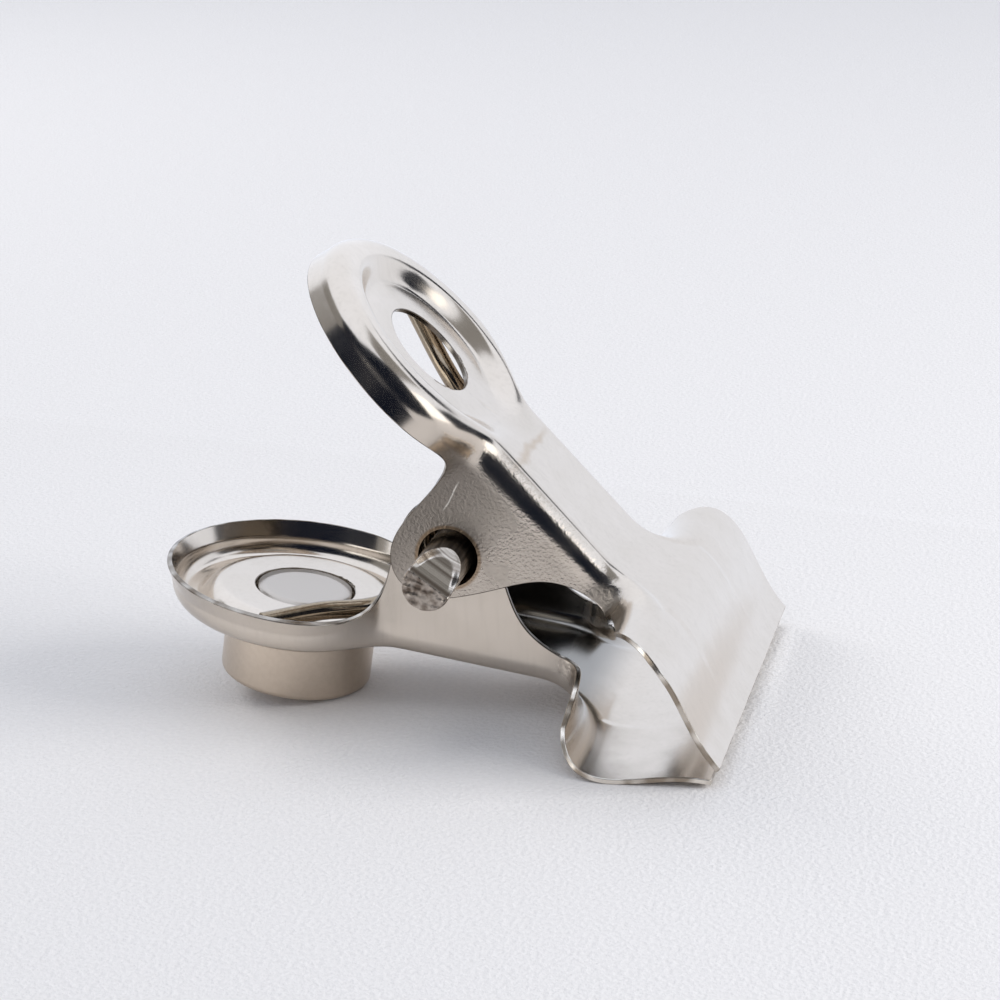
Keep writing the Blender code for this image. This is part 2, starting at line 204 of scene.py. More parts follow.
# Marks on the upper lever at rest: a dried drop's tide line on its web, and a scratch on its ear
STAIN = {"centre": PIVOT + (4.75, -0.8, 6.33), "across": (0.661, 0, -0.750),
         "sway": 0.9, "width": 0.5, "reach": 5.0, "level": 0.4}
SCRATCH = {"centre": PIVOT + (0.44, -5.75, 4.28), "across": (0.838, 0, -0.546),
           "sway": 0.25, "width": 0.09, "reach": 1.3, "level": 0.9}

# Mesh fineness: stations along a line, sides round an axis, and lengths that tell points apart
DISH_STATIONS = 72
NECK_STATIONS = 34
EAR_STATIONS = 130
EAR_ARC_STATIONS = 120
EAR_CLIMB_STATIONS = 80
FLARE_STATIONS = 56
TURN_STATIONS = 18
JAW_STATIONS = 40
JAW_TOP_STATIONS = 400
INNER_SHARES = np.linspace(0, 1, 25)[:-1]
ROUND_STEPS = 14
SKIRT_STEPS = 12
SOFTEN_STATIONS = 8
FINE_STEPS = 800
HEIGHT_STEP = 0.05
PIN_STATIONS = 80
PIN_FACE_STATIONS = (30, 15)
LEG_STATIONS = 90
COIL_STATIONS = 64
BEAD_STATIONS = 25
BOSS_STATIONS = 6
MAGNET_BACK_STATIONS = 5
MAGNET_EDGE_STATIONS = 9
MAGNET_FACE_STATIONS = 8
WIRE_SIDES = 24
HOLE_SIDES = 96
PIN_SIDES = 120
MAGNET_SIDES = 120
SHARP_HOLE_MARGIN = 0.1
MERGE_DISTANCE = 0.002
SHORTEST_EDGE = 0.0005

# Camera: where the photograph was taken from
CAMERA_AZIMUTH = math.radians(13.912)
CAMERA_ELEVATION = math.radians(17.817)
CAMERA_ROLL = math.radians(-2.788)
CAMERA_DISTANCE = 202.07
CAMERA_TARGET = PIVOT + (2.3125, 0, 2.2247)
FOCAL_PIXELS = 3000
PICTURE_PIXELS = 1000
SENSOR = 36
CLIP_START = 10

# Studio
TABLE_REACH = 2000
LIGHT_TARGET = (0, 0, 12)
SKY = "#EBF2FF"
SKY_LIGHT = 0.71
SKY_SEEN = 1.4


def smooth_step(x):
    """Rise from 0 to 1 with level ends: 3x^2 - 2x^3 within 0..1."""
    x = np.clip(x, 0, 1)
    return x * x * (3 - 2 * x)


def fade(x, start, end):
    """Smooth step from 0 at the start to 1 at the end, whichever of the two is larger."""
    return smooth_step((x - start) / (end - start))


def even_path(points, count):
    """Points spaced evenly by length along straight runs between the given ones."""
    p = np.array(points, float)
    length = np.r_[0, np.cumsum(np.linalg.norm(np.diff(p, axis=0), axis=1))]
    even = np.linspace(0, length[-1], count)
    return np.stack([np.interp(even, length, axis) for axis in p.T], axis=-1)


def smooth_path(points, count):
    """Cubic Hermite curve through the points by chord length, with mean slopes, at even lengths."""
    p = np.array(points, float)
    chord = np.r_[0, np.cumsum(np.linalg.norm(np.diff(p, axis=0), axis=1))]
    slope = np.gradient(p, chord, axis=0)
    t = np.linspace(0, chord[-1], FINE_STEPS)
    i = np.clip(np.searchsorted(chord, t, "right") - 1, 0, len(p) - 2)
    width = (chord[i + 1] - chord[i])[:, None]
    x = (t - chord[i])[:, None] / width
    curve = (1 + 2 * x) * (1 - x) ** 2 * p[i] + x * (1 - x) ** 2 * width * slope[i]
    curve += x ** 2 * (3 - 2 * x) * p[i + 1] + x ** 2 * (x - 1) * width * slope[i + 1]
    return even_path(curve, count)


def ripple(x, seed):
    """Uneven line between about -1 and 1: a sum of sines of seeded, drawn pitches and phases."""
    draw = np.random.default_rng(seed)
    pitch = draw.uniform(*RIPPLE_PITCH, RIPPLE_WAVES)
    phase = draw.uniform(0, 2 * math.pi, RIPPLE_WAVES)
    return np.sin(np.multiply.outer(x, pitch) + phase).sum(axis=-1) / math.sqrt(RIPPLE_WAVES)


def soften(grid):
    """Gaussian mean along the stations.

    The start is mirrored across the lever's middle, and the end is carried on straight.
    """
    reach = 3 * SOFTEN_STATIONS
    weight = np.exp(-0.5 * (np.arange(-reach, reach + 1) / SOFTEN_STATIONS) ** 2)
    weight /= weight.sum()
    before = grid[reach:0:-1] * (1, -1, 1)
    after = 2 * grid[-1] - grid[-2:-reach - 2:-1]
    padded = np.concatenate([before, grid, after])
    return sum(w * padded[k:k + len(grid)] for k, w in enumerate(weight))


def round_dish(radius, angles, height):
    """Points on a circle about the dish's axis."""
    u = radius * np.cos(angles) - DISH_OFFSET
    return np.stack([u, radius * np.sin(angles), np.full_like(u, height)], axis=-1)


def ear_outline(count):
    """Free edge of an ear: tangent line, arc, tangent line, and a curve up to the jaw."""
    centre = np.array(EAR_CENTRE)
    ends = []
    for point, turn in ((EAR_BACK, 1), (EAR_FRONT, -1)):
        away = np.array(point) - centre
        reach = math.acos(EAR_RADIUS / np.hypot(*away))
        ends.append(math.atan2(away[1], away[0]) + turn * reach)
    angles = np.linspace(ends[0], ends[1] + 2 * math.pi, EAR_ARC_STATIONS)
    arc = centre + EAR_RADIUS * np.stack([np.cos(angles), np.sin(angles)], axis=-1)
    climb = smooth_path(EAR_TO_JAW, EAR_CLIMB_STATIONS)
    return even_path(np.vstack([[EAR_BACK], arc, climb]), count)


def at_side(outline, y):
    """Lift a (u, h) outline to points at one distance from the lever's middle."""
    return np.stack([outline[:, 0], np.full(len(outline), y), outline[:, 1]], axis=-1)


def top_height(u):
    """Height of the web and the jaw, level across: a ramp to the crest, then the jaw's top.

    Both are read from one table, which a Gaussian mean softens at the crest.
    """
    crest_u, crest_h = JAW_TOP[0]
    reach = 3 * CREST_SOFTEN
    fine = np.arange(CHANNEL_END - reach, JAW_TOP[-1][0] + reach, HEIGHT_STEP)
    ramp = WEB_HEIGHT + (crest_h - WEB_HEIGHT) * fade(fine, CHANNEL_END, crest_u)
    top = np.interp(fine, *smooth_path(JAW_TOP, JAW_TOP_STATIONS).T)
    table = np.where(fine < crest_u, ramp, top)
    weight = np.exp(-0.5 * (np.arange(-reach, reach, HEIGHT_STEP) / CREST_SOFTEN) ** 2)
    half = len(weight) // 2
    padded = np.pad(table, half, mode="edge")
    smooth = np.convolve(padded, weight / weight.sum(), mode="same")[half:][:len(table)]
    return np.interp(u, fine, smooth)


def flare(start, end):
    """Superellipse corner from the channel to the jaw's side, without its first point.

    All lines are read at the same angles, those that space a line of the mean size evenly.
    """
    angle = np.linspace(0, math.pi / 2, FINE_STEPS)
    along = np.sin(angle) ** FLARE_POWER
    across = 1 - np.cos(angle) ** FLARE_POWER
    share = np.stack([along, across, smooth_step(along)], axis=-1)
    step = np.hypot(FLARE_SIZE[0] * np.diff(along), FLARE_SIZE[1] * np.diff(across))
    length = np.r_[0, np.cumsum(step)]
    even = np.linspace(0, length[-1], FLARE_STATIONS + 1)[1:]
    share = np.stack([np.interp(even, length, axis) for axis in share.T], axis=-1)
    return start + share * (end - start)


def turn_in(start, point, end):
    """Line from the dish through a neck point to the channel, without its first point."""
    u, beyond, h = point
    return smooth_path([start, (u, end[1] + beyond, h), end], NECK_STATIONS + 1)[1:]


def run_on(line, end):
    """Straight run along the channel from the end of a line, without its first point."""
    return even_path([line[-1], end], EAR_STATIONS + 1)[1:]


def lever_rails(half_width, web_bend, draft):
    """Lines along half a lever to the jaw's back: its middle, its bend, its wall and its free edge.

    Each is an arc about the dish's axis, a turn in at the neck, a straight run along the channel
    and a flare along the jaw's back. The middle follows the hole, then the centre line. The free
    edge follows the ear's outline instead of a straight run.
    """
    turn = np.linspace(math.pi, NECK_ANGLE, DISH_STATIONS)
    middle = round_dish(HOLE_RADIUS, turn, RIDGE_HEIGHT)
    bend = round_dish(RIDGE_RADIUS, turn, RIDGE_HEIGHT)
    wall = round_dish(DISH_RADIUS - draft, turn, RIM_HEIGHT + RIM_LAND)
    edge = round_dish(DISH_RADIUS, turn, RIM_HEIGHT)

    bend_y = half_width - web_bend[0]
    wall_h = WEB_HEIGHT - web_bend[1]
    turn = np.linspace(NECK_ANGLE, 0, NECK_STATIONS + 1)
    hole = round_dish(HOLE_RADIUS, turn, RIDGE_HEIGHT)[1:]
    hole[:, 2] = np.linspace(RIDGE_HEIGHT, WEB_HEIGHT, NECK_STATIONS + 1)[1:]
    ear = at_side(ear_outline(EAR_STATIONS + 1), half_width)
    middle = np.vstack([middle, hole])
    bend = np.vstack([bend, turn_in(bend[-1], NECK_BEND, (BEND_START, bend_y, WEB_HEIGHT))])
    wall = np.vstack([wall, turn_in(wall[-1], NECK_WALL, (WALL_START, half_width, wall_h))])
    edge = np.vstack([edge, turn_in(edge[-1], NECK_EDGE, ear[0]), ear[1:]])

    middle = np.vstack([middle, run_on(middle, (CHANNEL_END, 0, WEB_HEIGHT))])
    bend = np.vstack([bend, run_on(bend, (CHANNEL_END, bend_y, WEB_HEIGHT))])
    wall = np.vstack([wall, run_on(wall, (CHANNEL_END, half_width, WALL_FRONT))])

    side = JAW_WIDTH / 2
    bend = np.vstack([bend, flare(bend[-1], np.insert(JAW_TOP[0], 1, side))])
    wall = np.vstack([wall, flare(wall[-1], np.insert(JAW_BACK_WALL, 1, side))])
    edge = np.vstack([edge, flare(edge[-1], np.insert(JAW_BACK_EDGE, 1, side))])
    ramp = bend[len(middle):len(middle) + TURN_STATIONS] * (1, 0, 1)
    return np.vstack([middle, ramp]), bend, wall, edge


def trim(line, half_width):
    """Line down the jaw's back wall, cut off where the free edge climbs from ear to jaw corner."""
    across = (line[-1, 1] - half_width) / (JAW_WIDTH / 2 - half_width)
    start = EAR_TO_JAW[-1][1]
    height = start + (JAW_CORNER - start) * fade(across, CLIMB_START, 1)
    length = np.r_[0, np.cumsum(np.linalg.norm(np.diff(line, axis=0), axis=1))]
    share = np.interp(height, line[::-1, 2], length[::-1]) / length[-1]
    return np.stack([np.interp(length * share, length, axis) for axis in line.T], axis=-1)


def round_corner(grid, half_width):
    """Draw the jaw's points in from its side, so that its back corner is round in plan."""
    back = np.clip(CORNER_CENTRE - grid[..., 0], 0, CORNER_RADIUS)
    inset = CORNER_RADIUS - np.sqrt(CORNER_RADIUS ** 2 - back ** 2)
    share = np.where(grid[..., 0] > CHANNEL_END, inset / (JAW_WIDTH / 2 - half_width), 0)
    beyond = np.maximum(grid[..., 1] - half_width, 0)
    return grid - np.stack([0 * beyond, beyond * share, 0 * beyond], axis=-1)


def dish_rise(point):
    """Share of the climb from plateau to ridge: a smooth step, eased towards the channel."""
    u = point[..., 0] + DISH_OFFSET
    ease = NECK_EASE * smooth_step(1 - np.arctan2(point[..., 1], u) / NECK_ANGLE)
    climb = RIDGE_INNER - PLATEAU_RADIUS + 2 * ease
    return smooth_step((np.hypot(u, point[..., 1]) - PLATEAU_RADIUS + ease) / climb)


def half_lever(half_width, web_bend, draft):
    """Three grids of the outer face of half a lever: handle and web, the jaw's back wall, the jaw.

    Inside the bend a point is a straight mean of the middle and the bend, lowered to the plateau by
    dish_rise. From the bend to the wall it follows a quarter ellipse, and from there a straight
    skirt to the free edge. The jaw runs level across, from its back to its tip, at top_height.
    """
    middle, bend, wall, edge = lever_rails(half_width, web_bend, draft)
    share = INNER_SHARES[None, :, None]
    inner = middle[:, None] + share * (bend[:len(middle)] - middle)[:, None]
    inner[..., 2] = PLATEAU_HEIGHT + (inner[..., 2] - PLATEAU_HEIGHT) * dish_rise(inner)

    angle = np.linspace(0, math.pi / 2, ROUND_STEPS + 1)[:, None]
    rounding = bend[:, None] + (wall - bend)[:, None] * np.sin(angle)
    rounding[..., 2] = wall[:, None, 2] + (bend - wall)[:, None, 2] * np.cos(angle[:, 0])
    down = (np.arange(1, SKIRT_STEPS + 1) / SKIRT_STEPS)[None, :, None]
    skirt = wall[:, None] + down * (edge - wall)[:, None]
    outer = np.concatenate([rounding, skirt], axis=1)
    outer[-FLARE_STATIONS:] = [trim(line, half_width) for line in outer[-FLARE_STATIONS:]]

    # The softening keeps the hole round and the centre line in the middle
    hole_end = DISH_STATIONS + NECK_STATIONS
    keep = smooth_step((hole_end - np.arange(len(inner))) / NECK_STATIONS + 1)[:, None]
    exact = inner[:, 0].copy()
    inner = soften(inner)
    inner[:, 0] += keep * (exact - inner[:, 0])
    inner[hole_end:, 0, 1] = 0
    outer = soften(outer)

    turn = len(middle) - 1
    handle = np.concatenate([inner, outer[:turn + 1]], axis=1)
    back = np.vstack([inner[turn], outer[turn:, 0]])
    share = np.linspace(0, 1, JAW_STATIONS)[:, None]
    along = back[:, 0] + share * (JAW_TOP[-1][0] - back[:, 0])
    across = np.broadcast_to(back[:, 1], along.shape)
    join = (back[:, 2] - top_height(back[:, 0])) * (1 - share) ** 2
    jaw = np.stack([along, across, top_height(along) + join], axis=-1)
    return [round_corner(grid, half_width) for grid in (handle, outer[turn:], jaw)]


def lever_to_world(points, upper):
    """Points of a lever's frame, turned by its tilt about the pin and moved to the clip's place."""
    u, y, h = np.moveaxis(np.asarray(points, float), -1, 0)
    side = 1 if upper else -1
    tilt = UPPER_TILT if upper else LOWER_TILT
    x = u * math.cos(tilt) + side * h * math.sin(tilt)
    z = -u * math.sin(tilt) + side * h * math.cos(tilt)
    return np.stack([x, side * y, z], axis=-1) + PIVOT


def world_to_lever(points, upper):
    """Points of the clip, turned back to a lever's own frame."""
    x, y, z = np.moveaxis(np.asarray(points, float) - PIVOT, -1, 0)
    side = 1 if upper else -1
    tilt = UPPER_TILT if upper else LOWER_TILT
    u = x * math.cos(tilt) - z * math.sin(tilt)
    h = side * (x * math.sin(tilt) + z * math.cos(tilt))
    return np.stack([u, side * y, h], axis=-1)


def disc_profile(first, last, distance, count):
    """Profile of a flat disc or ring: (radius, distance) from the first radius to the last."""
    return np.stack([np.linspace(first, last, count), np.full(count, distance)], axis=-1)


def revolve(profile, sides, axis_point, axis, across):
    """Surface of revolution: each (radius, distance) of the profile carried round an axis."""
    radius, distance = np.array(profile, float).T
    angle = np.linspace(0, 2 * math.pi, sides, endpoint=False)
    other = np.cross(axis, across)
    ring = np.cos(angle)[:, None] * across + np.sin(angle)[:, None] * other
    return axis_point + distance[:, None, None] * axis + radius[:, None, None] * ring


def tube(route, radius):
    """Round section carried along a route, square to it, with flat ends.

    Its first direction is the pin's axis, made square to the route.
    """
    tangent = np.gradient(route, axis=0)
    tangent /= np.linalg.norm(tangent, axis=1)[:, None]
    upright = Y_AXIS - tangent[:, 1:2] * tangent
    upright /= np.linalg.norm(upright, axis=1)[:, None]
    other = np.cross(tangent, upright)
    angle = np.linspace(0, 2 * math.pi, WIRE_SIDES, endpoint=False)[:, None]
    ring = np.cos(angle) * upright[:, None] + np.sin(angle) * other[:, None]
    body = route[:, None] + radius * ring
    cap = WIRE_CAP[:, None, None]
    head = route[0] + cap * radius * ring[0]
    tail = route[-1] + cap[::-1] * radius * ring[-1]
    return np.concatenate([head, body, tail])


def grid_mesh(name, grids, closed=False):
    """Mesh of grids of points in millimetres, each joined into quads, with shared edges merged."""
    points = []
    faces = []
    for grid in grids:
        rows, columns = grid.shape[:2]
        first = sum(len(p) for p in points)
        corner = first + np.arange(rows * columns).reshape(rows, columns)
        if closed:
            corner = np.hstack([corner, corner[:, :1]])
        quads = (corner[:-1, :-1], corner[1:, :-1], corner[1:, 1:], corner[:-1, 1:])
        faces.append(np.stack(quads, axis=-1).reshape(-1, 4))
        points.append(grid.reshape(-1, 3))
    mesh = bpy.data.meshes.new(name)
    mesh.from_pydata((np.concatenate(points) * MM).tolist(), [], np.concatenate(faces).tolist())
    bm = bmesh.new()
    bm.from_mesh(mesh)
    bmesh.ops.remove_doubles(bm, verts=bm.verts, dist=MERGE_DISTANCE * MM)
    bmesh.ops.dissolve_degenerate(bm, edges=bm.edges, dist=SHORTEST_EDGE * MM)
    bm.to_mesh(mesh)
    bm.free()
    mesh.shade_smooth()
    return mesh


def face_outwards(mesh):
    """Turn the faces of a closed mesh outwards."""
    bm = bmesh.new()
    bm.from_mesh(mesh)
    bmesh.ops.recalc_face_normals(bm, faces=bm.faces)
    bm.to_mesh(mesh)
    bm.free()


def read_vectors(items, name):
    """Array of one vector of each of a mesh's vertices or faces."""
    flat = np.empty(3 * len(items))
    items.foreach_get(name, flat)
    return flat.reshape(-1, 3)


def set_attribute(mesh, name, value):
    """Store one number at each point of a mesh."""
    attribute = mesh.attributes.new(name, "FLOAT", "POINT")
    attribute.data.foreach_set("value", value)


def add_object(name, mesh, *materials):
    """Object at the origin, with its place in its mesh."""
    piece = bpy.data.objects.new(name, mesh)
    bpy.context.collection.objects.link(piece)
    for material in materials:
        mesh.materials.append(material)
    return piece


def add_piece(name, mesh, body, node, *materials):
    """Piece that stands for a CAD node and moves with its body."""
    piece = add_object(name, mesh, *materials)
    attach(piece, body)
    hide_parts(node)


def hex_colour(text):
    """Linear colour of an sRGB hex value."""
    value = np.array([int(text[k:k + 2], 16) for k in (1, 3, 5)]) / 255
    linear = np.where(value <= 0.04045, value / 12.92, ((value + 0.055) / 1.055) ** 2.4)
    return (*linear, 1.0)


def fill_inputs(tree, node, inputs):
    """Fill a node's inputs with values or with other nodes' outputs."""
    for name, value in inputs.items():
        if isinstance(value, bpy.types.NodeSocket):
            tree.links.new(value, node.inputs[name])
        else:
            node.inputs[name].default_value = value


def add_node(tree, kind, inputs=None, **settings):
    """Add a node, set its properties and fill its inputs."""
    node = tree.nodes.new(kind)
    for name, value in settings.items():
        setattr(node, name, value)
    fill_inputs(tree, node, inputs or {})
    return node


def per_metre(millimetres):
    """Texture scale for a pattern of that real size."""
    return 1 / (millimetres * MM)


def new_material(name):
    """Bare metal: a material, its node tree, its Principled shader and its Object coordinates."""
    material = bpy.data.materials.new(name)
    material.use_nodes = True
    tree = material.node_tree
    shader = tree.nodes["Principled BSDF"]
    shader.inputs["Metallic"].default_value = 1.0
    place = add_node(tree, "ShaderNodeTexCoord").outputs["Object"]
    return material, tree, shader, place


def mottle(tree, place, colours, size, detail, contrast=(0, 1)):
    """Noise of a real size in millimetres, and two colours mixed between two of its levels."""
    noise = add_node(tree, "ShaderNodeTexNoise",
                     {"Vector": place, "Scale": per_metre(size), "Detail": detail}).outputs["Fac"]
    share = add_node(tree, "ShaderNodeMapRange",
                     {"Value": noise, "From Min": contrast[0],
                      "From Max": contrast[1]}).outputs["Result"]
    first, second = colours
    colour = add_node(tree, "ShaderNodeMix",
                      {"Factor": share, "A": hex_colour(first), "B": hex_colour(second)},
                      data_type="RGBA").outputs["Result"]
    return noise, colour


def line_mask(tree, place, noise, line):
    """Share of an uneven line drawn across a lever.

    It is full on a plane that sways with the noise, fades over the line's width to either side, and
    fades out between half its reach and its reach from the line's centre.
    """
    arm = add_node(tree, "ShaderNodeVectorMath", {0: place, 1: line["centre"] * MM},
                   operation="SUBTRACT").outputs[0]
    far = add_node(tree, "ShaderNodeVectorMath", {0: arm}, operation="LENGTH").outputs["Value"]
    beside = add_node(tree, "ShaderNodeVectorMath", {0: arm, 1: line["across"]},
                      operation="DOT_PRODUCT").outputs["Value"]
    sway = line["sway"] * MM
    wander = add_node(tree, "ShaderNodeMath", {0: noise, 1: 2 * sway, 2: -sway},
                      operation="MULTIPLY_ADD").outputs[0]
    off = add_node(tree, "ShaderNodeMath", {0: beside, 1: wander}, operation="SUBTRACT").outputs[0]
    away = add_node(tree, "ShaderNodeMath", {0: off}, operation="ABSOLUTE").outputs[0]
    close = add_node(tree, "ShaderNodeMapRange",
                     {"Value": away, "From Min": line["width"] * MM, "From Max": 0.0,
                      "To Max": line["level"]}, interpolation_type="SMOOTHSTEP").outputs["Result"]
    near = add_node(tree, "ShaderNodeMapRange",
                    {"Value": far, "From Min": line["reach"] * MM,
                     "From Max": 0.5 * line["reach"] * MM}).outputs["Result"]
    return add_node(tree, "ShaderNodeMath", {0: close, 1: near}, operation="MULTIPLY").outputs[0]


def nickel_plate(name):
    """Bright nickel plating on pressed steel: a grey mirror, with dull, pitted ears, painted shade
    inside.
    """
    material, tree, shader, place = new_material(name)
    ear, inside, pitted = (
        add_node(tree, "ShaderNodeAttribute", attribute_name=mark).outputs["Fac"]
        for mark in ("ear", "inside", "pitted"))

    # A bloom on the mirror changes its colour and its gloss a little, and worn ears are duller
    bloom, colour = mottle(tree, place, ("#D9CFC4", "#D0C6B9"), size=2.2, detail=4.0)
    clean = add_node(tree, "ShaderNodeMapRange",
                     {"Value": bloom, "From Min": 0.3, "From Max": 0.75,
                      "To Min": 0.15, "To Max": 0.22}).outputs["Result"]
    rough = add_node(tree, "ShaderNodeMath", {0: ear, 1: 0.3, 2: clean},
                     operation="MULTIPLY_ADD").outputs[0]

    # Faint upright streaks, drawn coarser than the real ones so that they show
    upright = add_node(tree, "ShaderNodeVectorMath", {0: place, 1: (1, 1, 0.08)},
                       operation="MULTIPLY").outputs[0]
    drawn = add_node(tree, "ShaderNodeTexNoise",
                     {"Vector": upright, "Scale": per_metre(0.3), "Detail": 3.0}).outputs["Fac"]
    streak = add_node(tree, "ShaderNodeMapRange",
                      {"Value": drawn, "From Min": 0.5, "From Max": 0.75,
                       "To Max": 0.1}).outputs["Result"]

    # A dark brown ring round the pin's hole: painted shade at the hole's edge
    arm = add_node(tree, "ShaderNodeVectorMath", {0: place, 1: PIVOT * MM},
                   operation="SUBTRACT").outputs[0]
    flat = add_node(tree, "ShaderNodeVectorMath", {0: arm, 1: (1, 0, 1)},
                    operation="MULTIPLY").outputs[0]
    reach = add_node(tree, "ShaderNodeVectorMath", {0: flat}, operation="LENGTH").outputs["Value"]
    ring = add_node(tree, "ShaderNodeMapRange",
                    {"Value": reach, "From Min": HOLE_SHADE_RING[0] * MM,
                     "From Max": HOLE_SHADE_RING[1] * MM, "To Max": 0.7}).outputs["Result"]

    stain = line_mask(tree, place, bloom, STAIN)
    scratch = line_mask(tree, place, bloom, SCRATCH)
    # The inside layer is painted shade, darkening the plate in the channel's hollow
    layers = ((streak, "#9C9084"), (stain, "#A98C66"), (ear, "#958D85"),
              (scratch, "#F2ECE4"), (inside, "#96938E"), (ring, "#8F7454"))
    for share, over in layers:
        colour = add_node(tree, "ShaderNodeMix",
                          {"Factor": share, "A": colour, "B": hex_colour(over)},
                          data_type="RGBA").outputs["Result"]

    # The pits are drawn coarser than the real ones so that they show
    pits = add_node(tree, "ShaderNodeTexNoise",
                    {"Vector": place, "Scale": per_metre(0.22), "Detail": 3.0}).outputs["Fac"]
    bump = add_node(tree, "ShaderNodeBump",
                    {"Height": pits, "Strength": pitted, "Distance": 0.075 * MM}).outputs["Normal"]
    fill_inputs(tree, shader, {"Base Color": colour, "Roughness": rough, "Normal": bump})
    return material


def sheared_edge(name):
    """Steel as the shears left it: bright facets and tear marks, with grime and painted shade along
    the ears.

    The tear marks are drawn coarser than real ones, which are too fine to show.
    """
    material, tree, shader, place = new_material(name)
    grime_and_shade = add_node(tree, "ShaderNodeAttribute", attribute_name="grime_and_shade").outputs["Fac"]
    tears, tint = mottle(tree, place, ("#9A8E80", "#EDE6DC"), size=1.4, detail=1.5,
                         contrast=(0.38, 0.62))
    # Grime with painted shade: the cut edges are darker along the ears, standing in for the shade of
    # the overlapping ears, and less so on the dish's rim
    grimy_and_shaded = add_node(tree, "ShaderNodeMix",
                     {"Factor": grime_and_shade, "A": tint, "B": hex_colour("#3E352D")},
                     data_type="RGBA").outputs["Result"]
    bump = add_node(tree, "ShaderNodeBump",
                    {"Height": tears, "Strength": 0.5, "Distance": 0.09 * MM}).outputs["Normal"]
    fill_inputs(tree, shader, {"Base Color": grimy_and_shaded, "Roughness": 0.25, "Normal": bump})
    return material


def shorn_steel(name):
    """Bare steel where the blade slid through the wire: bright, with dark drag lines across it.

    The drag lines are drawn coarser than real ones, which are too fine to show.
    """
    material, tree, shader, place = new_material(name)
    past = add_node(tree, "ShaderNodeVectorMath", {0: place, 1: (CUT_SIDE[0], 0, CUT_SIDE[1])},
                    operation="DOT_PRODUCT").outputs["Value"]
    drag = add_node(tree, "ShaderNodeTexNoise",
                    {"W": past, "Scale": per_metre(0.35), "Detail": 4.0},
                    noise_dimensions="1D").outputs["Fac"]
    marks = add_node(tree, "ShaderNodeMapRange",
                     {"Value": drag, "From Min": 0.35, "From Max": 0.6}).outputs["Result"]
    tint = add_node(tree, "ShaderNodeMix",
                    {"Factor": marks, "A": hex_colour("#6F6156"), "B": hex_colour("#DDD5CA")},
                    data_type="RGBA").outputs["Result"]
    fill_inputs(tree, shader, {"Base Color": tint, "Roughness": 0.2})
    return material


def torn_steel(name):
    """Bare steel where the wire tore off: dull grey, uneven, with brown pits."""
    material, tree, shader, place = new_material(name)
    lumps, tint = mottle(tree, place, ("#6B5F55", "#B4AAA0"), size=0.6, detail=4.0,
                         contrast=(0.35, 0.6))
    bump = add_node(tree, "ShaderNodeBump",
                    {"Height": lumps, "Strength": 0.6, "Distance": 0.12 * MM}).outputs["Normal"]
    fill_inputs(tree, shader, {"Base Color": tint, "Roughness": 0.36, "Normal": bump})
    return material


def drawn_wire(name, colours, roughness, stretch):
    """Drawn steel wire: bright, with die lines that the stretch lays along it.

    The die lines are drawn coarser than real ones, which are too fine to show.
    """
    material, tree, shader, place = new_material(name)
    along = add_node(tree, "ShaderNodeVectorMath", {0: place, 1: stretch},
                     operation="MULTIPLY").outputs[0]
    lines, tint = mottle(tree, along, colours, size=0.22, detail=3.0, contrast=(0.35, 0.65))
    bump = add_node(tree, "ShaderNodeBump",
                    {"Height": lines, "Strength": 0.3, "Distance": 0.01 * MM}).outputs["Normal"]
    fill_inputs(tree, shader, {"Base Color": tint, "Roughness": roughness, "Normal": bump})
    return material


def magnet_plate(name):
    """Nickel barrel-plated on a sintered magnet: a satin grey, cooler on its boss.

    Its soft orange-peel skin is drawn coarser than the real one so that it shows.
    """
    material, tree, shader, place = new_material(name)
    boss = add_node(tree, "ShaderNodeAttribute", attribute_name="boss").outputs["Fac"]
    peel, tint = mottle(tree, place, ("#D2C4B4", "#C4B5A4"), size=0.35, detail=3.0)
    cooler = add_node(tree, "ShaderNodeMix",
                      {"Factor": boss, "A": tint, "B": hex_colour("#BBB3AA")},
                      data_type="RGBA").outputs["Result"]
    bump = add_node(tree, "ShaderNodeBump",
                    {"Height": peel, "Strength": 0.4, "Distance": 0.01 * MM}).outputs["Normal"]
    fill_inputs(tree, shader, {"Base Color": cooler, "Roughness": 0.3, "Normal": bump})
    return material


def cured_glue(name):
    """Cured epoxy: a dull, slightly yellow bead."""
    material, tree, shader, place = new_material(name)
    _, tint = mottle(tree, place, ("#C9C3AE", "#AFA78F"), size=0.6, detail=3.0)
    fill_inputs(tree, shader, {"Base Color": tint, "Metallic": 0.0, "Roughness": 0.45})
    return material


def matte_paper(name):
    """White matte paper, with a tooth that is drawn coarser than the real one so that it shows."""
    material, tree, shader, place = new_material(name)
    tooth, fibre = mottle(tree, place, ("#DFDBD8", "#EFEBE8"), size=0.35, detail=3.0)
    bump = add_node(tree, "ShaderNodeBump",
                    {"Height": tooth, "Strength": 0.8, "Distance": 0.12 * MM}).outputs["Normal"]
    fill_inputs(tree, shader,
                {"Base Color": fibre, "Metallic": 0.0, "Roughness": 0.8, "Normal": bump})
    return material


def glow(name, colour, level):
    """One even brightness: a lit soft box, or a flag that stays dark."""
    material = bpy.data.materials.new(name)
    material.use_nodes = True
    tree = material.node_tree
    tree.nodes.clear()
    light = add_node(tree, "ShaderNodeEmission", {"Color": hex_colour(colour), "Strength": level})
    add_node(tree, "ShaderNodeOutputMaterial", {"Surface": light.outputs[0]})
    return material


def apply_modifiers(piece):
    """Give an object the mesh that its modifiers make, and drop them."""
    shaped = piece.evaluated_get(bpy.context.evaluated_depsgraph_get())
    piece.data = bpy.data.meshes.new_from_object(shaped)
    piece.modifiers.clear()


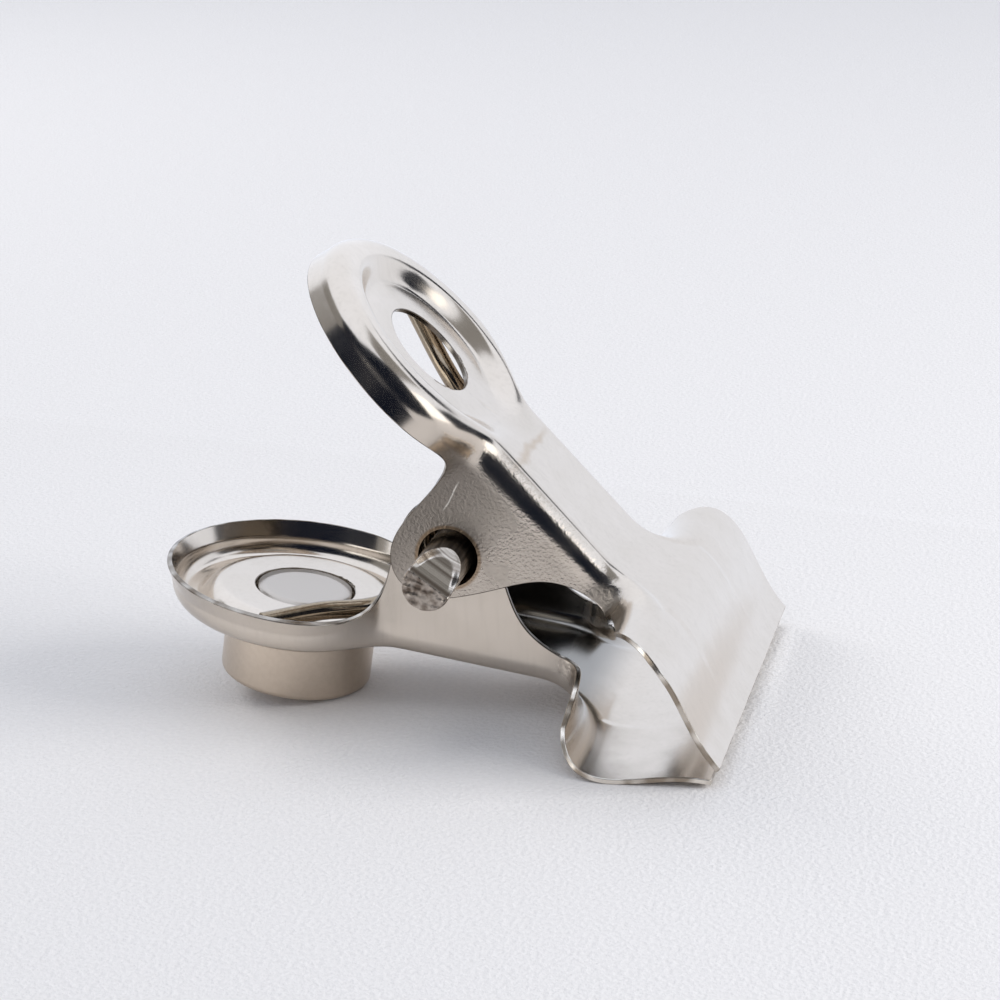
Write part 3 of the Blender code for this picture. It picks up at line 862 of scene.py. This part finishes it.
def weigh_edges(mesh):
    """Mark the edges between a lever's plate and its rims for rounding.

    Plate faces have material 0 and rim faces 1, so an edge between them has a sum of 1 over its two
    faces. The edges of the pin's holes are left out, and stay sharp.
    """
    edge_of = np.empty(len(mesh.loops), np.int32)
    sides = np.empty(len(mesh.polygons), np.int32)
    rim = np.empty_like(sides)
    ends = np.empty(2 * len(mesh.edges), np.int32)
    mesh.loops.foreach_get("edge_index", edge_of)
    mesh.polygons.foreach_get("loop_total", sides)
    mesh.polygons.foreach_get("material_index", rim)
    mesh.edges.foreach_get("vertices", ends)
    border = np.bincount(edge_of, np.repeat(rim, sides), len(mesh.edges)) == 1
    x, _, z = (read_vectors(mesh.vertices, "co") - PIVOT * MM).T
    away = np.hypot(x, z)[ends.reshape(-1, 2)].min(axis=1)
    at_hole = away < (PIN_HOLE_RADIUS + SHARP_HOLE_MARGIN) * MM
    weight = mesh.attributes.new("bevel_weight_edge", "FLOAT", "EDGE")
    weight.data.foreach_set("value", (border & ~at_hole).astype(float))
    mesh.edges.foreach_set("use_edge_sharp", border & at_hole)


def mark_wear_and_shade(mesh, upper, level):
    """Attributes of a lever, each a share from 0 to 1: ear, pitted, inside, and grime with painted
    shade.

    The ears are worn, most at their back, and pitted together with their bends. So is a patch at
    the torn corner under the jaw, fading as a Gaussian. Inside is what faces the channel's hollow,
    which gets painted shade. Grime with painted shade sits on the cut edges of the ears, and less of
    it on the rim of the dish.
    """
    u, y, h = world_to_lever(read_vectors(mesh.vertices, "co") / MM, upper).T
    along = fade(u, *EAR_BACK_FADE) * fade(u, *EAR_FRONT_FADE)
    low = along * fade(h, *EAR_TOP_FADE)
    ear = low * (1 - EAR_CLEAN * fade(u, *EAR_CLEAN_FADE))
    bend = along * fade(h, *BEND_FADE)
    corner = np.stack([u, np.abs(y), h], axis=-1) - TORN_CORNER
    torn = np.exp(-np.sum(corner ** 2, axis=1) / TORN_REACH ** 2)
    pitted = np.maximum(level * ((1 - BEND_PITS) * ear + BEND_PITS * bend), torn)
    ear = np.maximum(level * ear, TORN_DULL * torn)

    # Inside: painted shade where the plate faces the channel's hollow
    _, facing_y, facing_h = world_to_lever(read_vectors(mesh.vertices, "normal") + PIVOT, upper).T
    up = CHANNEL_MIDDLE - h
    inward = (facing_h * up - facing_y * y) / np.hypot(y, up)
    inside = fade(inward, 0, INSIDE_TURN)
    inside *= fade(u, *INSIDE_BACK_FADE) * fade(u, *INSIDE_FRONT_FADE)
    # Grime with painted shade on the cut edges of the ears, and less on the dish's rim
    grime_and_shade = np.maximum(EAR_GRIME_AND_SHADE * low, RIM_GRIME_AND_SHADE * fade(u, *RIM_GRIME_AND_SHADE_FADE))
    for name, value in (("ear", ear), ("pitted", pitted), ("inside", inside), ("grime_and_shade", grime_and_shade)):
        set_attribute(mesh, name, value)


def add_lever(node, body, upper, plate, edge):
    """Lever: outer face of both halves, sheet thickness inwards, pin holes and broken edges."""
    grids = []
    draft = UPPER_DRAFT if upper else LOWER_DRAFT
    for half_width, web_bend, side in ((OUTER_EAR, OUTER_BEND, -1), (INNER_EAR, INNER_BEND, 1)):
        for grid in half_lever(half_width, web_bend, draft):
            grid = grid * (1, side, 1)
            grids.append(lever_to_world(grid if side > 0 else grid[::-1], upper))
    lever = add_object(node + "_plate", grid_mesh(node + "_plate", grids), plate, edge)

    reach = JAW_WIDTH / 2
    rod = [(0, -reach), (PIN_HOLE_RADIUS, -reach), (PIN_HOLE_RADIUS, reach), (0, reach)]
    drill_grid = revolve(rod, HOLE_SIDES, PIVOT, Y_AXIS, X_AXIS)
    drill_mesh = grid_mesh("drill", [drill_grid], closed=True)
    face_outwards(drill_mesh)
    drill = add_object("drill", drill_mesh, edge)

    sheet = lever.modifiers.new("sheet", "SOLIDIFY")
    sheet.thickness = SEEN_SHEET * MM
    sheet.offset = -1
    sheet.material_offset_rim = 1
    holes = lever.modifiers.new("pin_holes", "BOOLEAN")
    holes.operation = "DIFFERENCE"
    holes.solver = "EXACT"
    holes.object = drill
    holes.material_mode = "TRANSFER"
    apply_modifiers(lever)
    bpy.data.objects.remove(drill)

    weigh_edges(lever.data)
    rounding = lever.modifiers.new("broken_edges", "BEVEL")
    rounding.width = EDGE_BREAK * MM
    rounding.segments = 2
    rounding.limit_method = "WEIGHT"
    rounding.harden_normals = True
    rounding.material = 1
    rounding.use_clamp_overlap = False
    rounding.loop_slide = False
    apply_modifiers(lever)

    mark_wear_and_shade(lever.data, upper, UPPER_WEAR if upper else LOWER_WEAR)
    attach(lever, body)
    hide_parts(node)


def spring_leg(coil_y, rise, tip, splay_start, upper):
    """Leg from the coil to its tip under a handle: along the web, then splayed into the dish."""
    route = [(0, coil_y, COIL_RADIUS)]
    for u, h in rise:
        splay = max(0, (splay_start - u) / (splay_start - tip[0]))
        route.append((u, coil_y + splay * (tip[1] - coil_y), h))
    route.append(tip)
    return lever_to_world(smooth_path(route, LEG_STATIONS), upper)


def spring_route():
    """Centre line of the wire: lower leg, helix whose angle rises along the pin, upper leg."""
    first = math.atan2(-math.cos(LOWER_TILT), -math.sin(LOWER_TILT))
    last = math.atan2(math.cos(UPPER_TILT), math.sin(UPPER_TILT)) + 2 * math.pi * COIL_TURNS
    turns = (last - first) / (2 * math.pi)
    coil_y = COIL_PITCH * turns / 2
    angle = np.linspace(first, last, round(turns * COIL_STATIONS) + 1)
    along = np.linspace(-coil_y, coil_y, len(angle))
    circle = COIL_RADIUS * np.cos(angle), along, COIL_RADIUS * np.sin(angle)
    helix = PIVOT + np.stack(circle, axis=-1)
    lower = spring_leg(coil_y, LOWER_LEG_RISE, LOWER_LEG_TIP, LOWER_SPLAY_START, False)
    upper = spring_leg(coil_y, UPPER_LEG_RISE, UPPER_LEG_TIP, UPPER_SPLAY_START, True)
    return np.vstack([lower[::-1], helix[1:-1], upper]), coil_y


def add_spring(material):
    """Torsion spring as one round wire, wound up between the two levers along its coil."""
    route, coil_y = spring_route()
    mesh = grid_mesh("spring_wire", [tube(route, WIRE_RADIUS)], closed=True)
    spring = add_object("spring_wire", mesh, material)
    face_outwards(mesh)
    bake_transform(spring)
    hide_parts("torsion_spring")


def add_pin(wire, shorn, torn):
    """Pin cut from wire. Its near end is cut off slanting on one side and torn off on the other.

    A point of the near end moves along the axis with its distance past the cut's line, and by
    seeded sines over the torn part. The slanting part's rim is rounded off to a lip. The torn
    part's rim is pushed outwards as a burr, less and less away from the end.
    """
    near_face = disc_profile(0, PIN_FACES[0], PIN_NEAR_END, PIN_FACE_STATIONS[0])
    far_face = disc_profile(PIN_FACES[1], 0, PIN_FAR_END, PIN_FACE_STATIONS[1])
    side = np.linspace((PIN_RADIUS, PIN_SIDE[0]), (PIN_RADIUS, PIN_SIDE[1]), PIN_STATIONS)
    profile = np.vstack([near_face, PIN_NEAR_ROUND, side, PIN_FAR_ROUND, far_face])
    grid = revolve(profile, PIN_SIDES, PIVOT, Y_AXIS, X_AXIS)
    x, y, z = np.moveaxis(grid - PIVOT, -1, 0)
    past = CUT_SIDE[0] * x + CUT_SIDE[1] * z
    near = np.clip((PIN_SQUARE - y) / (PIN_SQUARE - PIN_NEAR_END), 0, 1)
    slant = near * CUT_SLOPE * np.maximum(past - CUT_START, 0)
    uneven = np.prod([ripple(a * x + b * z, seed) for a, b, seed in TEAR_RIPPLES], axis=0)
    tear = TEAR_DEPTH * near ** 6 * fade(past, CUT_START, CUT_START - TEAR_FADE) * uneven
    outer = fade(np.hypot(x, z) / PIN_RADIUS, LIP_INNER, 1)
    lip = LIP_DEPTH * near ** 4 * outer * fade(past, 0, LIP_FADE)
    burr = BURR * near ** 2 * np.clip((CUT_START - past) / PIN_RADIUS, 0, 1)
    grid += np.stack([burr * x, slant + tear + lip, burr * z], axis=-1)
    mesh = grid_mesh("pin_wire", [grid], closed=True)
    face_outwards(mesh)
    mesh.set_sharp_from_angle(angle=PIN_SHARP)
    add_piece("pin_wire", mesh, "pin", "pivot_pin", wire, shorn, torn)

    # Drawn wire along the side, shorn steel on the slanting cut, torn steel elsewhere on the ends
    x, _, z = (read_vectors(mesh.polygons, "center") / MM - PIVOT).T
    facing = read_vectors(mesh.polygons, "normal")[:, 1]
    near_end = facing < NEAR_FACING
    before = CUT_SIDE[0] * x + CUT_SIDE[1] * z < CUT_START
    torn_off = (near_end & before) | (facing > FAR_FACING)
    finish = np.where(torn_off, 2, near_end).astype(np.int32)
    mesh.polygons.foreach_set("material_index", finish)


def add_magnet(plate, glue):
    """Disc magnet with rounded edges and a boss on its back, and the ring of glue behind it.

    Both are profiles turned about the dish's axis: an ellipse for the glue, straight lines and
    quarter circles for the magnet.
    """
    axis = np.array((-DISH_OFFSET, 0, 0)), Z_AXIS, X_AXIS
    glue_back = PLATEAU_HEIGHT + ADHESIVE_GAP
    glue_face = glue_back + ADHESIVE_THICK
    turn = np.linspace(0, 2 * math.pi, BEAD_STATIONS)
    middle = np.array((ADHESIVE_OUTER + ADHESIVE_INNER, glue_back + glue_face)) / 2
    half = np.array((ADHESIVE_OUTER - ADHESIVE_INNER, ADHESIVE_THICK)) / 2
    bead = middle + half * np.stack([np.cos(turn), np.sin(turn)], axis=-1)
    grid = lever_to_world(revolve(bead, HOLE_SIDES, *axis), False)
    mesh = grid_mesh("glue_bead", [grid], closed=True)
    face_outwards(mesh)
    add_piece("glue_bead", mesh, "lower", "magnet_adhesive", glue)

    back = glue_face + ADHESIVE_GAP
    boss = PLATEAU_HEIGHT - SHEET + BOSS_SINK
    flat = MAGNET_RADIUS - MAGNET_EDGE
    quarter = np.linspace(0, math.pi / 2, MAGNET_EDGE_STATIONS)
    rounding = MAGNET_EDGE * np.stack([np.sin(quarter) - 1, 1 - np.cos(quarter)], axis=-1)
    profile = np.vstack([
        disc_profile(0, BOSS_RADIUS, boss, BOSS_STATIONS),
        disc_profile(BOSS_RADIUS, flat, back, MAGNET_BACK_STATIONS)[:-1],
        (MAGNET_RADIUS, back) + rounding,
        (MAGNET_RADIUS, MAGNET_FACE) + rounding[::-1] * (1, -1),
        disc_profile(flat, 0, MAGNET_FACE, MAGNET_FACE_STATIONS)[1:]])
    grid = lever_to_world(revolve(profile, MAGNET_SIDES, *axis), False)
    mesh = grid_mesh("magnet_disc", [grid], closed=True)
    face_outwards(mesh)
    height = world_to_lever(read_vectors(mesh.vertices, "co") / MM, False)[:, 2]
    set_attribute(mesh, "boss", fade(height, glue_back + BOSS_FADE, glue_back))
    add_piece("magnet_disc", mesh, "lower", "magnet", plate)


def add_camera():
    """Camera at the photograph's place, turned to its roll."""
    azimuth, elevation = CAMERA_AZIMUTH, CAMERA_ELEVATION
    level = math.cos(elevation)
    back = np.array((math.sin(azimuth) * level, -math.cos(azimuth) * level, math.sin(elevation)))
    right = np.array((math.cos(azimuth), math.sin(azimuth), 0))
    up = np.cross(back, right)
    turned_right = math.cos(CAMERA_ROLL) * right + math.sin(CAMERA_ROLL) * up
    turned_up = -math.sin(CAMERA_ROLL) * right + math.cos(CAMERA_ROLL) * up
    lens = bpy.data.cameras.new("camera")
    lens.sensor_width = SENSOR
    lens.lens = SENSOR * FOCAL_PIXELS / PICTURE_PIXELS
    lens.clip_start = CLIP_START * MM
    camera = bpy.data.objects.new("camera", lens)
    bpy.context.collection.objects.link(camera)
    place = (CAMERA_TARGET + CAMERA_DISTANCE * back) * MM
    turn = Matrix(np.column_stack([turned_right, turned_up, back]).tolist())
    camera.matrix_world = Matrix.Translation(Vector(place)) @ turn.to_4x4()
    bpy.context.scene.camera = camera


def add_card(name, material, azimuth, distance, bottom, size):
    """Upright card seen only in reflections. Its azimuth runs from the clip's front to the right."""
    turn = math.radians(azimuth)
    middle = np.array((math.sin(turn), -math.cos(turn), 0)) * distance
    across = np.array((math.cos(turn), math.sin(turn), 0)) * size[0] / 2
    foot = middle + (0, 0, bottom)
    rise = np.array((0, 0, size[1]))
    corners = [foot + across, foot - across, foot - across + rise, foot + across + rise]
    mesh = bpy.data.meshes.new(name)
    mesh.from_pydata([corner * MM for corner in corners], [], [(0, 1, 2, 3)])
    card = add_object(name, mesh, material)
    card.visible_camera = False
    card.visible_diffuse = False
    card.visible_shadow = False


def add_light(name, place, size, watts):
    """Soft box aimed at the clip."""
    place = Vector(place) * MM
    lamp = bpy.data.lights.new(name, "AREA")
    lamp.shape = "RECTANGLE"
    lamp.size = size[0] * MM
    lamp.size_y = size[1] * MM
    lamp.energy = watts
    light = bpy.data.objects.new(name, lamp)
    bpy.context.collection.objects.link(light)
    forward = Vector(LIGHT_TARGET) * MM - place
    light.location = place
    light.rotation_euler = forward.to_track_quat("-Z", "Y").to_euler()
    light.visible_camera = False
    light.visible_glossy = False


def add_studio():
    """Table, soft boxes, and the room that the metal reflects."""
    table = bpy.data.meshes.new("table")
    reach = TABLE_REACH * MM
    corners = [(-reach, -reach, 0), (reach, -reach, 0), (reach, reach, 0), (-reach, reach, 0)]
    table.from_pydata(corners, [], [(0, 1, 2, 3)])
    add_object("table", table, matte_paper("matte_paper"))

    # Dark cards give the bends and hollows their black, the others their white and grey
    white = glow("soft_box", "#FFFFFF", 2.0)
    grey = glow("grey_wall", "#FFFFFF", 0.3)
    dark = glow("dark_flag", "#141A28", 1.0)
    sweep = glow("paper_sweep", SKY, 1.25)
    add_card("dark_room", dark, azimuth=13, distance=62, bottom=0, size=(100, 90))
    add_card("dark_left", dark, azimuth=-38, distance=100, bottom=40, size=(62, 90))
    add_card("dark_back", dark, azimuth=137, distance=140, bottom=57, size=(67, 54))
    add_card("paper_sweep", sweep, azimuth=165, distance=46, bottom=0, size=(160, 40))
    add_card("dark_right", dark, azimuth=108, distance=75, bottom=0, size=(58, 44))
    add_card("box_right", white, azimuth=66, distance=150, bottom=0, size=(105, 95))
    add_card("box_left", white, azimuth=-46, distance=150, bottom=0, size=(170, 54))
    add_card("wall_left", grey, azimuth=-75, distance=250, bottom=90, size=(420, 210))
    add_card("wall_right", grey, azimuth=75, distance=130, bottom=120, size=(200, 200))

    add_light("window_right", place=(420, -20, 220), size=(300, 200), watts=1.6)
    add_light("window_left", place=(-300, 200, 260), size=(200, 160), watts=0.5)

    # The sky is brighter where it is seen or mirrored than it is as a light
    world = bpy.data.worlds.new("studio")
    bpy.context.scene.world = world
    world.use_nodes = True
    tree = world.node_tree
    ray = add_node(tree, "ShaderNodeLightPath")
    seen = add_node(tree, "ShaderNodeMath",
                    {0: ray.outputs["Is Camera Ray"], 1: ray.outputs["Is Glossy Ray"]},
                    operation="MAXIMUM").outputs[0]
    level = add_node(tree, "ShaderNodeMapRange",
                     {"Value": seen, "To Min": SKY_LIGHT, "To Max": SKY_SEEN}).outputs["Result"]
    fill_inputs(tree, tree.nodes["Background"], {"Color": hex_colour(SKY), "Strength": level})


def main():
    """Dress the clip, light it and look at it."""
    plate = nickel_plate("nickel_plate")
    edge = sheared_edge("sheared_edge")
    add_lever("upper_lever", "upper", True, plate, edge)
    add_lever("lower_lever", "lower", False, plate, edge)
    # The spring's dark brown colours are a painted reflection of the clip's dark, warm inside
    coiled = drawn_wire("spring_steel", ("#918370", "#A19380"), roughness=0.16, stretch=(1, 1, 1))
    straight = drawn_wire("pin_steel", ("#5C554F", "#B8AFA4"), roughness=0.25, stretch=(1, 0.06, 1))
    add_spring(coiled)
    add_pin(straight, shorn_steel("shorn_steel"), torn_steel("torn_steel"))
    add_magnet(magnet_plate("magnet_nickel"), cured_glue("cured_epoxy"))
    add_camera()
    add_studio()
    bpy.context.scene.view_settings.view_transform = "Standard"


main()
